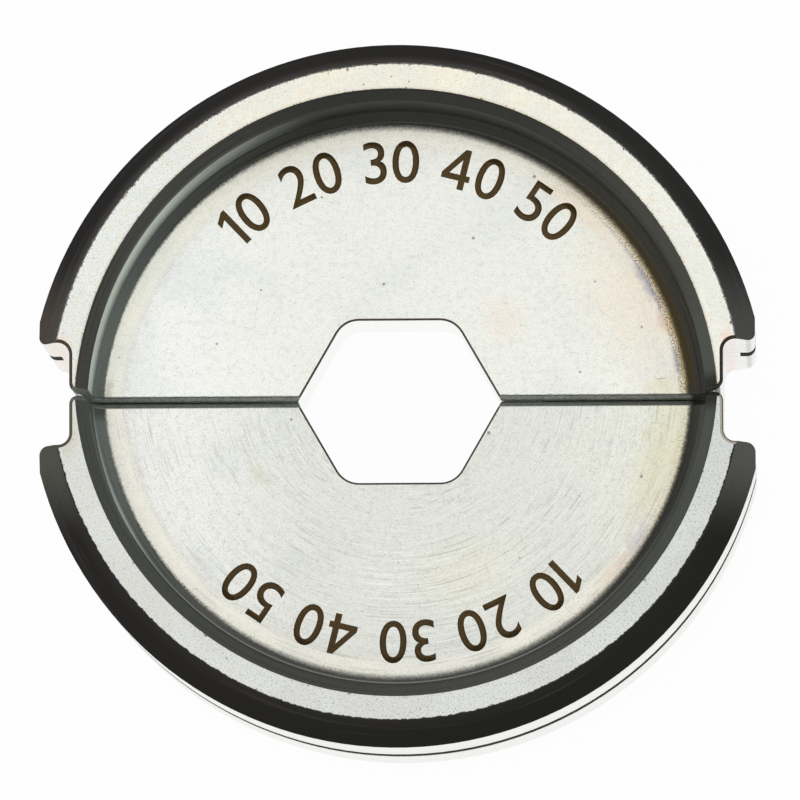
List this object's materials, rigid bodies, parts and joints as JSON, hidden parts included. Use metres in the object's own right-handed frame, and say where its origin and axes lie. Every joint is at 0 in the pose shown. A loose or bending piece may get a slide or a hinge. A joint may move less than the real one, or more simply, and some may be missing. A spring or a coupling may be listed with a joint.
{
  "type": "crimping die",
  "caption": "Matched pair of half-round steel crimping dies, lying closed round a hexagonal nest, with bevelled rims, recessed faces, end notches and a catch groove.",
  "frame": {"origin": "on the crimping axis, at the level of the back rims, where the die lies", "axes": "+Z along the crimping axis towards the marked front, +X along the parting line, +Y the closing direction towards the upper die"},
  "size_m": [0.0426, 0.042, 0.02],
  "materials": {
    "plated_steel": "satin zinc plate with pale yellow and grey stains"
  },
  "bodies": {
    "root": {"upper_die": "plated_steel", "lower_die": "plated_steel"}
  },
  "joints": []
}
